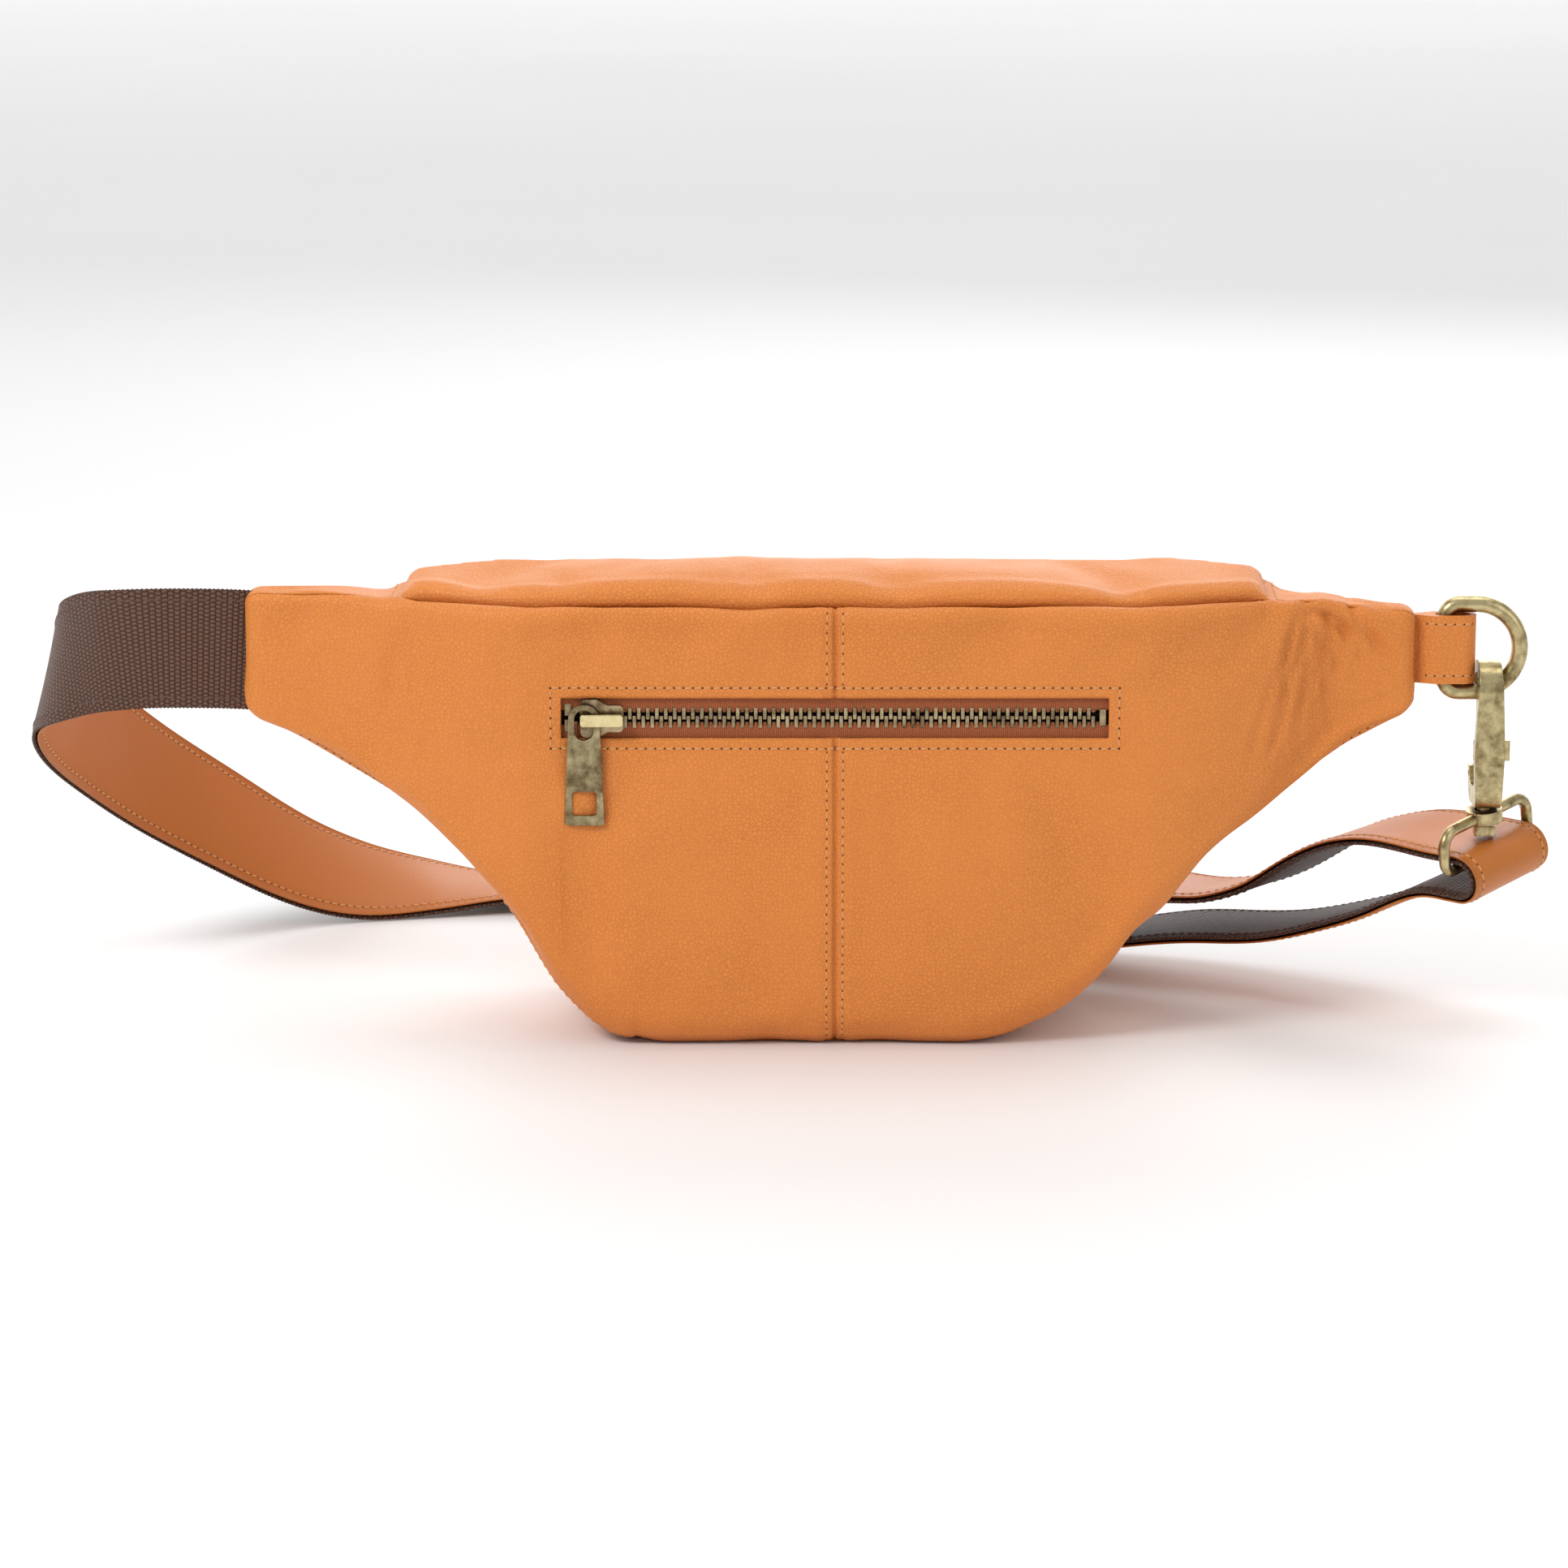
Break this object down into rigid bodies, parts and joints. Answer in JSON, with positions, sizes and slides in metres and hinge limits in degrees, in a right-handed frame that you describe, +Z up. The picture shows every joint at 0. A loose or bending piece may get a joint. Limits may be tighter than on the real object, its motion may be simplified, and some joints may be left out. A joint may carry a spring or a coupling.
{
  "type": "waist pack",
  "caption": "Leather waist pack with a pocket zip across the back panel, a webbing and leather belt, and a swivel snap hook on a ring",
  "frame": {"origin": "middle of the flat bottom that the pack stands on, in the plane of the centre seam", "axes": "+X towards the ring and hook, -Y out of the panel with the pocket zip, +Z up"},
  "size_m": [0.4506, 0.2055, 0.1353],
  "materials": {
    "shell_leather": "pebbled tan leather, semi-matt",
    "strap_leather": "smooth tan leather, satin",
    "webbing": "dark brown woven webbing",
    "zip_tape": "rust-brown woven tape",
    "zip_brass": "antique brass, worn bright on the edges",
    "bright_brass": "bright gold-tone brass",
    "antique_brass": "brushed antique brass",
    "spring_steel": "bare spring wire",
    "lining": "plain woven lining",
    "foam": "soft closed-cell foam"
  },
  "bodies": {
    "pack": {"rear_panel_left": "shell_leather", "rear_panel_right": "shell_leather", "front_panel": "shell_leather", "gusset": "shell_leather", "top_panel": "shell_leather", "centre_seam_tape": "lining", "wing_foam_left": "foam", "wing_foam_right": "foam", "main_lining": "lining", "rear_pocket_lining": "lining", "rear_zip_tape_upper": "zip_tape", "rear_zip_tape_lower": "zip_tape", "rear_zip_teeth_upper": "zip_brass", "rear_zip_teeth_lower": "zip_brass", "rear_zip_stops": "zip_brass", "main_zip_tape_upper": "zip_tape", "main_zip_tape_lower": "zip_tape", "main_zip_teeth_upper": "zip_brass", "main_zip_teeth_lower": "zip_brass", "main_zip_stops": "zip_brass", "ring_tab": "shell_leather", "strap_webbing": "webbing", "strap_leather": "strap_leather", "strap_end_webbing": "webbing", "strap_end_leather": "strap_leather", "adjuster": "antique_brass"},
    "rear_slider": {"rear_zip_slider": "zip_brass", "rear_zip_bridge": "bright_brass"},
    "rear_pull": {"rear_zip_pull": "zip_brass"},
    "main_slider": {"main_zip_slider": "zip_brass", "main_zip_bridge": "bright_brass"},
    "main_pull": {"main_zip_pull": "zip_brass"},
    "ring": {"d_ring": "antique_brass"},
    "hook": {"snap_hook": "antique_brass", "gate_pin": "antique_brass", "gate_spring": "spring_steel", "swivel_rivet": "antique_brass"},
    "gate": {"hook_gate": "antique_brass"},
    "loop": {"swivel_loop": "antique_brass"}
  },
  "joints": [
    {"name": "rear_zip_slide", "type": "slide", "parent": "pack", "child": "rear_slider", "axis": [1, 0, 0], "range_m": [0, 0.132]},
    {"name": "rear_pull_swing", "type": "hinge", "parent": "rear_slider", "child": "rear_pull", "pos_m": [-0.0719, -0.0349, 0.0976], "axis": [0, -1, 0], "range_deg": [-100, 35]},
    {"name": "main_zip_slide", "type": "slide", "parent": "pack", "child": "main_slider", "axis": [-1, 0, 0], "range_m": [0, 0.132]},
    {"name": "main_pull_swing", "type": "hinge", "parent": "main_slider", "child": "main_pull", "pos_m": [0.0719, 0.0277, 0.1278], "axis": [0, 0.5584, 0.8296], "range_deg": [-10, 120]},
    {"name": "ring_swing", "type": "hinge", "parent": "pack", "child": "ring", "pos_m": [0.1775, -0.006, 0.1132], "axis": [0, 0, 1], "range_deg": [-12, 12], "deforming": ["strap_end_webbing", "strap_end_leather"]},
    {"name": "hook_swing", "type": "hinge", "parent": "ring", "child": "hook", "pos_m": [0.1906, -0.006, 0.1003], "axis": [1, 0, 0], "range_deg": [-6, 6]},
    {"name": "loop_swivel", "type": "hinge", "parent": "hook", "child": "loop", "pos_m": [0.1906, -0.006, 0.0634], "axis": [0, 0, 1], "range_deg": [-10, 10]},
    {"name": "gate_open", "type": "hinge", "parent": "hook", "child": "gate", "pos_m": [0.1906, 0.0008, 0.0745], "axis": [1, 0, 0], "range_deg": [0, 20], "stiffness_Nm_per_rad": 0.02}
  ]
}
